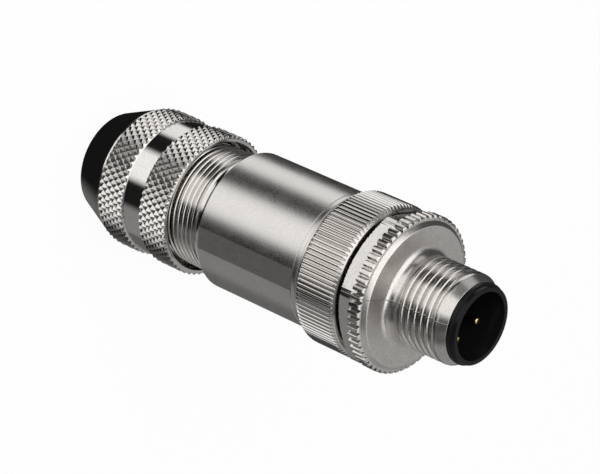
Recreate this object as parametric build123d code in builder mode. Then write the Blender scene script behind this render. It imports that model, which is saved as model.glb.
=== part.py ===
# Circular cable connector: a straight male plug with an M12 coupling thread and four pins.
# It is nickel-plated metal outside, and comes apart by its threads for wiring.
# The plug stands on its cable gland: Z runs along its axis, up to the mating face.
# All sizes are in millimetres.

import os
from math import cos, isclose, radians, sin, tan

from build123d import *

# Clearances shared by the fits
running_gap = 0.08          # radial, a part that turns on another
thread_gap = 0.05           # radial, between the crests of mating threads
slide_gap = 0.1             # radial, a part pushed in by hand
seat_gap = 0.1              # axial, between faces that meet on different parts
press_gap = 0.02            # radial, pins and plugs pressed into plastic

# Gland nut, from its rear face at height 0 to its front rim
nut_length = 18.2
nut_knurl_radius = 9.6
nut_rear_radius = 6.84
nut_rear_chamfer = 0.35
nut_cone_length = 6.0
nut_cone_radius = 9.25
nut_band_length = 4.3
nut_band_chamfer = 0.4
nut_groove_radius = 9.1
nut_groove_length = 3.1
nut_rim_radius = 9.25
nut_rim_length = 0.5
nut_rim_wall = 0.4
nut_mouth_depth = 2.6
cable_entry_radius = 4.6
cable_entry_length = 2.6
cable_entry_chamfer = 0.4
nut_seat_radius = 5.4
nut_seat_length = 5.2
nut_seat_angle = 24.0

# Clamping cage that the nut's cone seat squeezes onto the cable
cage_setback = 1.3          # from the front of the nut's entry to the cage's nose
cage_cone_gap = 0.15
cage_bulge_length = 3.3
cage_slope_length = 2.2
cage_collar_length = 4.1
cage_bore_radius = 4.3
cage_fingers = 8
cage_slot_width = 0.8
cage_band_length = 1.9

# Cable seal, its washer and the shield clamp, rear to front
seal_travel = 1.6           # free travel left between the cage and the seal
seal_length = 5.0
seal_bore_radius = 3.5
seal_chamfer = 0.6
washer_length = 0.9
washer_bore_radius = 4.0
clamp_length = 2.8
clamp_wall = 0.6
clamp_lip_length = 0.7
clamp_bore_radius = 4.3
clamp_slots = 10
clamp_slot_width = 0.6

# Barrel
barrel_radius = 9.25
barrel_rear = 10.2
barrel_shoulder = 23.6
barrel_front = 41.1
barrel_chamfer = 0.35
rear_thread_radius = 8.1
rear_thread_chamfer = 0.5
rear_thread_front = 21.8
rear_neck_radius = 7.85
rear_bore_radius = 6.4
rear_bore_chamfer = 0.8
web_length = 1.4
web_radius = 5.2
cavity_radius = 7.9

# Front body: the ribbed grip ring, its rear thread and its front hub
grip_length = 6.3
grip_inset = 0.15           # radial, from the flange's teeth to the ribs
grip_ribs = 100
rib_depth = 0.38
rib_end_length = 0.55       # of the bevel at each end of a rib
front_thread_length = 6.0
hub_radius = 6.9
hub_length = 2.5
front_web_setback = 0.6     # from the sealing ring's groove to the web's rear face

# Sealing rings: one behind the grip ring, one round the carrier
seal_ring_thickness = 1.0
ring_groove_width = 1.3
ring_groove_depth = 0.85
ring_seat_depth = 0.25

# Coupling ring
ring_play = 0.3
flange_radius = 10.4
flange_bevel = 0.5
flange_face_radius = 9.27
flat_distance = 9.25        # from the axis to each wrench flat
flat_length = 2.7
corner_angle = 39.0         # of one corner of the hexagon, from the first pin
tooth_root_radius = 9.75
tooth_length = 1.3
tooth_pitch = 6.0           # degrees
slots_per_side = 10
slot_width = 0.55
neck_radius = 5.5
neck_length = 1.5
neck_fillet = 0.9
mating_thread_radius = 6.0
mating_thread_chamfer = 1.0
mating_nose_radius = 5.35
mating_length = 9.2         # from the flange face to the nose

# Contact carrier, with the pins' socket in front
carrier_radius = 4.8
carrier_stem_radius = 4.3
carrier_tail = 1.4
shroud_radius = 5.1
shroud_lip_radius = 5.35
shroud_lip_length = 0.45
shroud_length = 1.1
shroud_chamfer = 0.15
socket_radius = 4.25
socket_depth = 9.2
key_width = 1.2
key_height = 0.75
key_setback = 1.2
key_angle = 45.0

# Carrier clip
clip_thickness = 0.6
clip_radius = 5.6
clip_groove_depth = 0.4
clip_opening = 60.0

# Terminal block and the insulating sleeve round it
block_radius = 6.75
block_length = 12.2
block_recess_radius = 6.0
block_key_width = 1.2
block_key_height = 0.55
insulator_wall = 0.6
insulator_length = 9.4
insulator_slot_setback = 1.5

# Contacts and their screws
pin_count = 4
pin_circle_radius = 2.75
pin_radius = 0.5
pin_setback = 2.45          # from the shroud's edge to the pin's tip
pin_tip_chamfer = 0.2
shank_radius = 0.8
wire_clamp_radius = 1.1
wire_clamp_length = 4.6
wire_hole_radius = 0.65
wire_hole_depth = 3.6
screw_height = 32.0
screw_radius = 0.6
screw_head_radius = 0.95
screw_head_length = 0.9
screw_head_setback = 0.35   # from the block's side to the screw's head
screw_slot_width = 0.3
screw_slot_depth = 0.4

# Places and radii that follow from the sizes above
band_1_front = nut_cone_length + nut_band_length
band_2_rear = band_1_front + nut_groove_length
nut_thread_radius = rear_thread_radius + thread_gap
nut_mouth_radius = nut_rim_radius - nut_rim_wall
nut_mouth_rear = nut_length - nut_mouth_depth
nut_seat_front = cable_entry_length + nut_seat_length
nut_seat_slope = tan(radians(nut_seat_angle))
nut_seat_front_radius = nut_seat_radius + nut_seat_length * nut_seat_slope

stack_radius = rear_bore_radius - slide_gap
cage_rear = cable_entry_length + cage_setback
cage_nose_radius = nut_seat_radius + cage_setback * nut_seat_slope - cage_cone_gap
cage_bulge_radius = cage_nose_radius + cage_bulge_length * nut_seat_slope
cage_bulge_height = cage_rear + cage_bulge_length
cage_collar_rear = cage_bulge_height + cage_slope_length
cage_front = cage_collar_rear + cage_collar_length
seal_rear = cage_front + seal_travel
seal_front = seal_rear + seal_length
washer_rear = seal_front + seat_gap
clamp_rear = washer_rear + washer_length + seat_gap
clamp_lip_front = clamp_rear + clamp_lip_length
clamp_front = clamp_rear + clamp_length
web_rear = clamp_front + seat_gap
cavity_rear = web_rear + web_length

grip_rear = barrel_front + seat_gap
grip_front = grip_rear + grip_length
grip_radius = flange_radius - grip_inset
rib_base_radius = grip_radius - rib_depth
thread_rear = grip_rear - front_thread_length
front_thread_radius = cavity_radius - thread_gap
sleeve_bore_radius = block_radius + thread_gap
hub_front = grip_front + hub_length
hub_bore_radius = carrier_stem_radius + press_gap
ring_groove_rear = grip_rear - ring_groove_width
ring_groove_radius = front_thread_radius - ring_groove_depth
ring_seat_rear = ring_groove_rear - seat_gap
web_face = ring_groove_rear - front_web_setback

flange_rear = grip_front + ring_play
teeth_rear = flange_rear + flat_length
teeth_front = teeth_rear + tooth_length
flange_front = teeth_front + flange_bevel
nose_front = flange_front + mating_length
thread_start = flange_front + neck_length
hub_seat_radius = hub_radius + running_gap
hub_seat_front = hub_front + seal_ring_thickness + 2 * seat_gap
ring_bore_radius = carrier_radius + running_gap

lip_rear = nose_front + seat_gap
lip_front = lip_rear + shroud_lip_length
mating_face = lip_rear + shroud_length
socket_floor = mating_face - socket_depth
carrier_rear = web_face - carrier_tail
clip_rear = web_face - clip_thickness - seat_gap
clip_groove_radius = carrier_stem_radius - clip_groove_depth
block_front = web_face
block_rear = block_front - block_length
block_recess_floor = carrier_rear - seat_gap
insulator_rear = cavity_rear + seat_gap
insulator_radius = block_radius + slide_gap

pin_angles = [360 / pin_count * pin for pin in range(pin_count)]
pin_front = mating_face - pin_setback
wire_clamp_rear = screw_height - wire_clamp_length / 2
wire_clamp_front = screw_height + wire_clamp_length / 2
screw_point = pin_circle_radius + wire_hole_radius
screw_head_rear = block_radius - screw_head_setback - screw_head_length
reach = 2 * flange_radius   # longer than anything that a cut goes through


def half_section(*points):
    """Return the face inside a closed outline of (radius, height) points."""
    with BuildSketch(Plane.XZ) as section:
        with BuildLine():
            Polyline(*points, close=True)
        make_face()
    return section.sketch


def polar(radius, angle):
    """Return the point at a radius and an angle in degrees."""
    return radius * cos(radians(angle)), radius * sin(radians(angle))


def screw_plane(angle, radius):
    """Return the plane across a terminal screw at a radius, facing outwards."""
    return Plane(origin=(*polar(radius, angle), screw_height), z_dir=(*polar(1, angle), 0))


def circles_of_radius(part, radius):
    """Return a part's round edges of one radius, from rear to front."""
    edges = part.edges().filter_by(GeomType.CIRCLE)
    return edges.filter_by(lambda edge: isclose(edge.radius, radius, abs_tol=1e-6)).sort_by(Axis.Z)


def rib_outline():
    """Return the points round the grip ring's ribs, a crest and a valley for each rib."""
    pitch = 360 / grip_ribs
    points = []
    for rib in range(grip_ribs):
        points.append(polar(grip_radius, rib * pitch))
        points.append(polar(rib_base_radius, (rib + 0.5) * pitch))
    return points


os.makedirs("parts", exist_ok=True)

# Gland nut: a cone, two bands for the knurl with a plain groove between, and a thread inside
with BuildPart() as gland_nut:
    revolve(half_section(
        (cable_entry_radius + cable_entry_chamfer, 0),
        (nut_rear_radius, 0),
        (nut_cone_radius, nut_cone_length - nut_band_chamfer / 2),
        (nut_knurl_radius, nut_cone_length + nut_band_chamfer / 2),
        (nut_knurl_radius, band_1_front - nut_band_chamfer),
        (nut_groove_radius, band_1_front),
        (nut_groove_radius, band_2_rear),
        (nut_knurl_radius - nut_band_chamfer / 2, band_2_rear),
        (nut_knurl_radius, band_2_rear + nut_band_chamfer / 2),
        (nut_knurl_radius, nut_length - nut_rim_length),
        (nut_rim_radius, nut_length - nut_rim_length / 2),
        (nut_rim_radius, nut_length),
        (nut_mouth_radius, nut_length),
        (nut_mouth_radius, nut_mouth_rear),
        (nut_thread_radius, nut_mouth_rear - (nut_mouth_radius - nut_thread_radius)),
        (nut_thread_radius, nut_seat_front + (nut_thread_radius - nut_seat_front_radius)),
        (nut_seat_front_radius, nut_seat_front),
        (nut_seat_radius, cable_entry_length),
        (cable_entry_radius, cable_entry_length),
        (cable_entry_radius, cable_entry_chamfer),
    ), axis=Axis.Z)
    chamfer(circles_of_radius(gland_nut, nut_rear_radius), nut_rear_chamfer)
gland_nut.part.label = "gland_nut"
export_step(gland_nut.part, "parts/gland_nut.step")

# Clamping cage: fingers round the cable, squeezed by the nut's cone
with BuildPart() as clamping_cage:
    revolve(half_section(
        (cage_bore_radius, cage_rear),
        (cage_nose_radius, cage_rear),
        (cage_bulge_radius, cage_bulge_height),
        (stack_radius, cage_collar_rear),
        (stack_radius, cage_front),
        (cage_bore_radius, cage_front),
    ), axis=Axis.Z)
    with Locations((0, 0, cage_rear)):
        with PolarLocations(0, cage_fingers):
            Box(reach, cage_slot_width, cage_front - cage_band_length - cage_rear,
                align=(Align.MIN, Align.CENTER, Align.MIN), mode=Mode.SUBTRACT)
clamping_cage.part.label = "clamping_cage"
export_step(clamping_cage.part, "parts/clamping_cage.step")

# Cable seal: a rubber sleeve that the cage presses along the axis
with BuildPart() as cable_seal:
    revolve(half_section(
        (seal_bore_radius, seal_rear + seal_chamfer),
        (seal_bore_radius + seal_chamfer, seal_rear),
        (stack_radius, seal_rear),
        (stack_radius, seal_front),
        (seal_bore_radius + seal_chamfer, seal_front),
        (seal_bore_radius, seal_front - seal_chamfer),
    ), axis=Axis.Z)
cable_seal.part.label = "cable_seal"
export_step(cable_seal.part, "parts/cable_seal.step")

# Pressure washer between the seal and the shield clamp
with BuildPart() as pressure_washer:
    with BuildSketch(Plane.XY.offset(washer_rear)):
        Circle(stack_radius)
        Circle(washer_bore_radius, mode=Mode.SUBTRACT)
    extrude(amount=washer_length)
pressure_washer.part.label = "pressure_washer"
export_step(pressure_washer.part, "parts/pressure_washer.step")

# Shield clamp: a slotted cup that joins the cable's braid to the barrel
with BuildPart() as shield_clamp:
    revolve(half_section(
        (clamp_bore_radius, clamp_rear),
        (stack_radius, clamp_rear),
        (stack_radius, clamp_lip_front),
        (clamp_bore_radius + clamp_wall, clamp_lip_front),
        (clamp_bore_radius + clamp_wall, clamp_front),
        (clamp_bore_radius, clamp_front),
    ), axis=Axis.Z)
    with Locations((0, 0, clamp_lip_front)):
        with PolarLocations(0, clamp_slots):
            Box(reach, clamp_slot_width, clamp_length,
                align=(Align.MIN, Align.CENTER, Align.MIN), mode=Mode.SUBTRACT)
shield_clamp.part.label = "shield_clamp"
export_step(shield_clamp.part, "parts/shield_clamp.step")

# Barrel: threaded outside behind for the nut, and inside in front for the front body
with BuildPart() as barrel:
    revolve(half_section(
        (rear_bore_radius + rear_bore_chamfer, barrel_rear),
        (rear_thread_radius - rear_thread_chamfer, barrel_rear),
        (rear_thread_radius, barrel_rear + rear_thread_chamfer),
        (rear_thread_radius, rear_thread_front),
        (rear_neck_radius, rear_thread_front + (rear_thread_radius - rear_neck_radius)),
        (rear_neck_radius, barrel_shoulder),
        (barrel_radius, barrel_shoulder),
        (barrel_radius, barrel_front - barrel_chamfer),
        (barrel_radius - barrel_chamfer, barrel_front),
        (cavity_radius + ring_seat_depth, barrel_front),
        (cavity_radius + ring_seat_depth, ring_seat_rear),
        (cavity_radius, ring_seat_rear - ring_seat_depth),
        (cavity_radius, cavity_rear),
        (web_radius, cavity_rear),
        (web_radius, web_rear),
        (rear_bore_radius, web_rear),
        (rear_bore_radius, barrel_rear + rear_bore_chamfer),
    ), axis=Axis.Z)
    chamfer(circles_of_radius(barrel, barrel_radius)[0], barrel_chamfer)
barrel.part.label = "barrel"
export_step(barrel.part, "parts/barrel.step")

# Insulating sleeve: slides along the terminal block's key inside the barrel
with BuildPart() as insulating_sleeve:
    with BuildSketch(Plane.XY.offset(insulator_rear)):
        Circle(insulator_radius + insulator_wall)
        Circle(insulator_radius, mode=Mode.SUBTRACT)
    extrude(amount=insulator_length)
    with Locations((0, 0, insulator_rear + insulator_slot_setback)):
        with PolarLocations(0, 1, start_angle=key_angle):
            Box(reach, block_key_width + 2 * slide_gap, insulator_length,
                align=(Align.MIN, Align.CENTER, Align.MIN), mode=Mode.SUBTRACT)
insulating_sleeve.part.label = "insulating_sleeve"
export_step(insulating_sleeve.part, "parts/insulating_sleeve.step")

# Front body: a ribbed grip ring with a threaded sleeve behind and a hub in front
with BuildPart() as front_body:
    widest_radius = rib_base_radius + rib_depth * grip_length / 2 / rib_end_length
    for height, radius in ((grip_rear, rib_base_radius), (grip_rear + grip_length / 2, widest_radius),
                           (grip_front, rib_base_radius)):
        with BuildSketch(Plane.XY.offset(height)):
            RegularPolygon(radius, grip_ribs, rotation=180 / grip_ribs)
    loft(ruled=True)
    with BuildSketch(Plane.XY.offset(grip_rear)):
        with BuildLine():
            Polyline(*rib_outline(), close=True)
        make_face()
    extrude(amount=grip_length, mode=Mode.INTERSECT)
    revolve(half_section(
        (0, thread_rear),
        (front_thread_radius, thread_rear),
        (front_thread_radius, ring_groove_rear),
        (ring_groove_radius, ring_groove_rear),
        (ring_groove_radius, grip_rear),
        (hub_radius, grip_front),
        (hub_radius, hub_front),
        (0, hub_front),
    ), axis=Axis.Z)
    with BuildSketch(Plane.XY.offset(thread_rear)):
        Circle(hub_bore_radius)
    extrude(amount=hub_front - thread_rear, mode=Mode.SUBTRACT)
    with BuildSketch(Plane.XY.offset(thread_rear)):
        Circle(sleeve_bore_radius)
    extrude(amount=web_face - thread_rear, mode=Mode.SUBTRACT)
front_body.part.label = "front_body"
export_step(front_body.part, "parts/front_body.step")

# Sealing rings: one behind the grip ring, one round the carrier inside the coupling ring
seal_ring_places = {
    "body_seal": (ring_groove_radius, ring_groove_rear + ring_groove_width / 2),
    "carrier_seal": (carrier_radius, hub_front + press_gap + seal_ring_thickness / 2),
}
for label, (inner_radius, height) in seal_ring_places.items():
    with BuildPart() as seal_ring:
        with BuildSketch(Plane.XZ):
            with Locations((inner_radius + press_gap + seal_ring_thickness / 2, height)):
                RegularPolygon(seal_ring_thickness / 2, 8)
        revolve(axis=Axis.Z)
    seal_ring.part.label = label
    export_step(seal_ring.part, f"parts/{label}.step")

# Coupling ring: a hexagon flange under a row of teeth, and the mating thread in front
with BuildPart() as coupling_ring:
    revolve(half_section(
        (hub_seat_radius, flange_rear),
        (flange_radius, flange_rear),
        (flange_radius, teeth_front),
        (flange_face_radius + flange_bevel, teeth_front),
        (flange_face_radius, flange_front),
        (neck_radius, flange_front),
        (neck_radius, thread_start),
        (mating_thread_radius, thread_start + (mating_thread_radius - neck_radius)),
        (mating_thread_radius, nose_front - mating_thread_chamfer),
        (mating_nose_radius, nose_front),
        (ring_bore_radius, nose_front),
        (ring_bore_radius, hub_seat_front),
        (hub_seat_radius, hub_seat_front),
    ), axis=Axis.Z)
    fillet(circles_of_radius(coupling_ring, neck_radius)[0], neck_fillet)
    with BuildSketch(Plane.XY.offset(flange_rear)):
        Circle(reach)
        RegularPolygon(flat_distance, 6, major_radius=False, rotation=corner_angle, mode=Mode.SUBTRACT)
    extrude(amount=flat_length, mode=Mode.SUBTRACT)
    slots_angle = tooth_pitch * (slots_per_side - 1)
    with Locations((0, 0, teeth_rear)):
        for side in range(6):
            first_slot = corner_angle + 60 * side + (60 - slots_angle) / 2
            with PolarLocations(tooth_root_radius, slots_per_side, start_angle=first_slot,
                                angular_range=slots_angle, endpoint=True):
                Box(flange_radius, slot_width, tooth_length,
                    align=(Align.MIN, Align.CENTER, Align.MIN), mode=Mode.SUBTRACT)
coupling_ring.part.label = "coupling_ring"
export_step(coupling_ring.part, "parts/coupling_ring.step")

# Contact carrier: an insulating plug that ends in the keyed socket round the pins
with BuildPart() as contact_carrier:
    revolve(half_section(
        (0, carrier_rear),
        (carrier_stem_radius, carrier_rear),
        (carrier_stem_radius, clip_rear),
        (clip_groove_radius, clip_rear),
        (clip_groove_radius, web_face),
        (carrier_stem_radius, web_face),
        (carrier_stem_radius, hub_front),
        (carrier_radius, hub_front),
        (carrier_radius, lip_rear),
        (shroud_lip_radius, lip_rear),
        (shroud_lip_radius, lip_front),
        (shroud_radius, lip_front),
        (shroud_radius, mating_face - shroud_chamfer),
        (shroud_radius - shroud_chamfer, mating_face),
        (socket_radius, mating_face),
        (socket_radius, socket_floor),
        (0, socket_floor),
    ), axis=Axis.Z)
    with Locations((0, 0, socket_floor)):
        with PolarLocations(socket_radius - key_height, 1, start_angle=key_angle):
            Box((carrier_radius - socket_radius) / 2 + key_height, key_width, socket_depth - key_setback,
                align=(Align.MIN, Align.CENTER, Align.MIN))
    with BuildSketch(Plane.XY.offset(carrier_rear)):
        with PolarLocations(pin_circle_radius, pin_count):
            Circle(shank_radius + press_gap)
    extrude(amount=socket_floor - carrier_rear, mode=Mode.SUBTRACT)
contact_carrier.part.label = "contact_carrier"
export_step(contact_carrier.part, "parts/contact_carrier.step")

# Carrier clip: an open ring that locks the carrier behind the front body's web
with BuildPart() as carrier_clip:
    with BuildSketch(Plane.XY.offset(clip_rear)):
        Circle(clip_radius)
        Circle(clip_groove_radius + press_gap, mode=Mode.SUBTRACT)
        with BuildLine():
            Polyline((0, 0), polar(reach, -clip_opening / 2), polar(reach, clip_opening / 2), close=True)
        make_face(mode=Mode.SUBTRACT)
    extrude(amount=clip_thickness)
carrier_clip.part.label = "carrier_clip"
export_step(carrier_clip.part, "parts/carrier_clip.step")

# Terminal block: holds the contacts' screw clamps behind the carrier
with BuildPart() as terminal_block:
    with BuildSketch(Plane.XY.offset(block_rear)):
        Circle(block_radius)
    extrude(amount=block_length)
    with Locations((0, 0, block_rear)):
        with PolarLocations(block_radius - block_key_height, 1, start_angle=key_angle):
            Box(2 * block_key_height, block_key_width, thread_rear - seat_gap - block_rear,
                align=(Align.MIN, Align.CENTER, Align.MIN))
    with BuildSketch(Plane.XY.offset(block_recess_floor)):
        Circle(block_recess_radius)
    extrude(amount=block_front - block_recess_floor, mode=Mode.SUBTRACT)
    with BuildSketch(Plane.XY.offset(block_rear)):
        with PolarLocations(pin_circle_radius, pin_count):
            Circle(wire_clamp_radius + press_gap)
    extrude(amount=wire_clamp_front + press_gap - block_rear, mode=Mode.SUBTRACT)
    with BuildSketch(Plane.XY.offset(block_rear)):
        with PolarLocations(pin_circle_radius, pin_count):
            Circle(shank_radius + press_gap)
    extrude(amount=block_length, mode=Mode.SUBTRACT)
    for angle in pin_angles:
        with BuildSketch(screw_plane(angle, pin_circle_radius)):
            Circle(screw_head_radius + slide_gap)
        extrude(amount=block_radius, mode=Mode.SUBTRACT)
terminal_block.part.label = "terminal_block"
export_step(terminal_block.part, "parts/terminal_block.step")

# Contact pins: each has a shank in the carrier and a hollow clamp for its wire
for number, angle in enumerate(pin_angles, start=1):
    with BuildPart() as contact_pin:
        with Locations(polar(pin_circle_radius, angle)):
            with Locations((0, 0, wire_clamp_rear)):
                Cylinder(wire_clamp_radius, wire_clamp_length,
                         align=(Align.CENTER, Align.CENTER, Align.MIN))
                Cylinder(wire_hole_radius, wire_hole_depth,
                         align=(Align.CENTER, Align.CENTER, Align.MIN), mode=Mode.SUBTRACT)
            with Locations((0, 0, wire_clamp_front)):
                Cylinder(shank_radius, socket_floor - wire_clamp_front,
                         align=(Align.CENTER, Align.CENTER, Align.MIN))
            with Locations((0, 0, socket_floor)):
                Cylinder(pin_radius, pin_front - socket_floor,
                         align=(Align.CENTER, Align.CENTER, Align.MIN))
        chamfer(contact_pin.faces().sort_by(Axis.Z)[-1].edges(), length=pin_tip_chamfer)
        with BuildSketch(screw_plane(angle, pin_circle_radius)):
            Circle(screw_radius + thread_gap)
        extrude(amount=wire_clamp_length, mode=Mode.SUBTRACT)
    contact_pin.part.label = f"contact_pin_{number}"
    export_step(contact_pin.part, f"parts/contact_pin_{number}.step")

# Terminal screws: slotted, each pressing a wire inside its contact
for number, angle in enumerate(pin_angles, start=1):
    with BuildPart() as terminal_screw:
        with BuildSketch(screw_plane(angle, screw_point)):
            Circle(screw_radius)
        extrude(amount=screw_head_rear - screw_point)
        with BuildSketch(screw_plane(angle, screw_head_rear)):
            Circle(screw_head_radius)
        extrude(amount=screw_head_length)
        with BuildSketch(screw_plane(angle, screw_head_rear + screw_head_length - screw_slot_depth)):
            Rectangle(screw_slot_width, reach)
        extrude(amount=screw_slot_depth, mode=Mode.SUBTRACT)
    terminal_screw.part.label = f"terminal_screw_{number}"
    export_step(terminal_screw.part, f"parts/terminal_screw_{number}.step")
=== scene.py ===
"""Dress a circular cable connector: fine meshes, finishes, studio and camera.

The packed model gives each piece its place and its overall size. All lengths are in metres.
"""
from collections import namedtuple
from math import acos, atan2, cos, floor, hypot, pi, radians, sin, tan, tau

import bmesh
import bpy
import numpy as np
from mathutils import Matrix, Vector


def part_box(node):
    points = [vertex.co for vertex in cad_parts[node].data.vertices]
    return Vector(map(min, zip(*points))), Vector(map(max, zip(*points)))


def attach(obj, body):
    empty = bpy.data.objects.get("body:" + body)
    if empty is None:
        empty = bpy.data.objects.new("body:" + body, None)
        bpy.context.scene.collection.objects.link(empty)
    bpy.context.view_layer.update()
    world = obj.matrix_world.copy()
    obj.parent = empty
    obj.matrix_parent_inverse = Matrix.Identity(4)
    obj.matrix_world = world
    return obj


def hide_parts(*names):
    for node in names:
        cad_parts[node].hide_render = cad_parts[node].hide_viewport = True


bl_info = {
    "name": "Circular cable connector",
    "version": (1, 0, 0),
    "blender": (4, 5, 0),
    "location": "3D View > Sidebar > Connector",
    "description": "Fine meshes, finishes and studio for a circular cable connector",
    "category": "Object",
}

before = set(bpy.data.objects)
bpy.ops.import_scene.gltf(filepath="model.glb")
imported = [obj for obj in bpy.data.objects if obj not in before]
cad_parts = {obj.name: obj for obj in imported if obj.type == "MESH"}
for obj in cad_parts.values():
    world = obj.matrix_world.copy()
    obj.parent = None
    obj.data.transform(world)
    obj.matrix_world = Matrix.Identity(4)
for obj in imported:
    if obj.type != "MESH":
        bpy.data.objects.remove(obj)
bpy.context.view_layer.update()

mm = 0.001                  # in metres
um = 0.001 * mm
TURN_SEGMENTS = 240         # round a turned surface
PIN_SEGMENTS = 48           # round a contact pin
THREAD_SEGMENTS = 192       # round a thread
THREAD_ROWS = 16            # along one pitch of a thread
RIB_COLUMNS = 13            # across one rib of the grip ring
RIB_END_ROWS = 8            # along a rib's bevelled end
FILLET_ROWS = 10            # along the fillet between flange and neck
CORNER_ROWS = 9             # along the hexagon's cut corners
RUN_OUT_ROWS = 5            # where a slot between two teeth runs out into a flat
TOOTH_END_ROWS = 8          # along the rounding of a tooth's end
SEAL_STEPS = 24             # round the section of a sealing ring
ARC_STEPS = 4               # along a rounded corner
BLUNT = 0.01                # a corner is rounded if half its turn is more than this
LONGEST_SETBACK = 0.45      # of a corner's shorter arm, for its rounding
EDGE = 0.05 * mm            # rounding or bevel of a turned edge
HAIR = 0.01 * mm            # bands that are sewn together stand a few of these apart
WELD = 1e-7                 # vertices nearer than this are one
SAME_TURN = 0.001           # turns about the axis that differ by less are one
SHARP_ANGLE = radians(32)   # edges that turn more than this stay sharp
HEXAGON_SIDES = 6
PATCH_SCALE = 420           # blobs a metre of the noise behind dull and shiny patches
PIT_SCALE = 1600            # the same for the pits of the castings
RING_SCALE = 14000          # the same for the turning marks
PARTING_HALF_WIDTH = 0.03 * mm
PARTING_REACH = 0.08 * mm   # where the parting line has faded out
PARTING_HEIGHT = 12 * um
FLOOR_GLOW = 0.012          # what the metal mirrors from below, without the soft boxes
HORIZON_GLOW = 0.11         # the same from above

# A rib's profile: share of half its width, and share of its height
RIB_PROFILE = ((0, 0.4, 0.8, 1), (1, 0.93, 0.07, 0))

# A tooth's wall: share of the way from its top to its root, and share of its height
TOOTH_WALL = ((0.12, 0.9), (0.35, 0.62), (0.65, 0.3), (0.9, 0.1), (1.12, 0))

Band = namedtuple("Band", "mesh start end")
SoftBox = namedtuple("SoftBox", "azimuth half_width side_edge low high edge brightness")

# Lights that show only as reflections, with their angles in degrees
SOFT_BOXES = (
    # Below the horizon, mirrored by the long turned surfaces
    SoftBox(343, 19, 7, -56, -12, 6, 1.35),
    SoftBox(70, 27, 8, -56, 60, 8, 1.5),
    SoftBox(172, 28, 8, -62, -20, 8, 0.36),
    SoftBox(215, 40, 12, -62, -20, 8, 0.18),
    # Level, mirrored by bevels, grooves and threads
    SoftBox(352, 15, 8, -8, 30, 8, 0.75),
    SoftBox(68, 45, 12, -12, 14, 7, 1.1),
    SoftBox(212, 48, 14, -24, 40, 10, 0.45),
    # Above the horizon, mirrored by the front faces and the fillet
    SoftBox(205, 40, 14, 12, 45, 8, 0.58),
    SoftBox(228, 28, 12, 38, 66, 8, 1.0),
    SoftBox(265, 30, 14, 22, 52, 10, 0.5),
    SoftBox(20, 45, 12, 10, 50, 10, 0.3),
    SoftBox(148, 14, 8, 14, 36, 8, 0.24),
)


def length(name, value, text):
    """Return a length property, given its default in millimetres."""
    return bpy.props.FloatProperty(name=name, description=text, default=value * mm, min=0,
                                   unit="LENGTH", precision=5)


def count(name, value, text):
    """Return a property that counts things."""
    return bpy.props.IntProperty(name=name, description=text, default=value, min=1)


def share(name, value, text):
    """Return a property between 0 and 1."""
    return bpy.props.FloatProperty(name=name, description=text, default=value, min=0, max=1,
                                   subtype="FACTOR")


def colour(name, value, text):
    """Return a colour property."""
    return bpy.props.FloatVectorProperty(name=name, description=text, default=value, size=3,
                                         min=0, max=1, subtype="COLOR")


def angle(name, value, text):
    """Return an angle property, given its default in degrees."""
    return bpy.props.FloatProperty(name=name, description=text, default=radians(value),
                                   subtype="ANGLE", unit="ROTATION")


class GlandNutSizes(bpy.types.PropertyGroup):
    """Sizes of the gland nut, from its rear face."""
    rear_radius: length("Rear radius", 6.84, "Radius where the cone starts")
    rear_round: length("Rear rounding", 0.45, "Rounding of the rear edge")
    cone_length: length("Cone length", 6.0, "Height at which the first band starts")
    cone_radius: length("Cone radius", 9.25, "Radius at the cone's wide end")
    band_length: length("Band length", 4.3, "Length of the first knurled band")
    band_chamfer: length("Band chamfer", 0.4, "Depth of the bevel at each end of a band")
    bevel_length: length("Bevel length", 0.12, "Length of the bevel at each end of a band")
    groove_radius: length("Groove radius", 9.1, "Radius of the plain groove")
    groove_length: length("Groove length", 3.1, "Length of the plain groove")
    rim_length: length("Rim length", 0.14, "Length of the plain rim in front")
    rim_radius: length("Rim radius", 9.25, "Outer radius of the rim")
    rim_wall: length("Rim wall", 0.45, "Thickness of the rim")
    mouth_depth: length("Mouth depth", 1.2, "Depth of the recess inside the rim")
    knurl_depth: length("Knurl depth", 0.34, "Depth of the knurl's grooves")
    knurl_flat: share("Knurl flat", 0.1, "Part of a diamond's height that its flat top cuts off")
    diamonds: count("Diamonds", 60, "Diamonds round the nut in one row")
    rows: count("Rows", 6, "Rows of diamonds along one band")
    entry_radius: length("Entry radius", 4.6, "Radius of the cable's opening")
    entry_length: length("Entry length", 2.6, "Length of the cable's opening")
    entry_chamfer: length("Entry chamfer", 0.4, "Bevel at the cable's opening")
    seat_radius: length("Seat radius", 5.4, "Small radius of the cage's seat")
    seat_length: length("Seat length", 5.2, "Length of the cage's seat")
    seat_angle: angle("Seat angle", 24, "Slope of the cage's seat")


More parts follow.
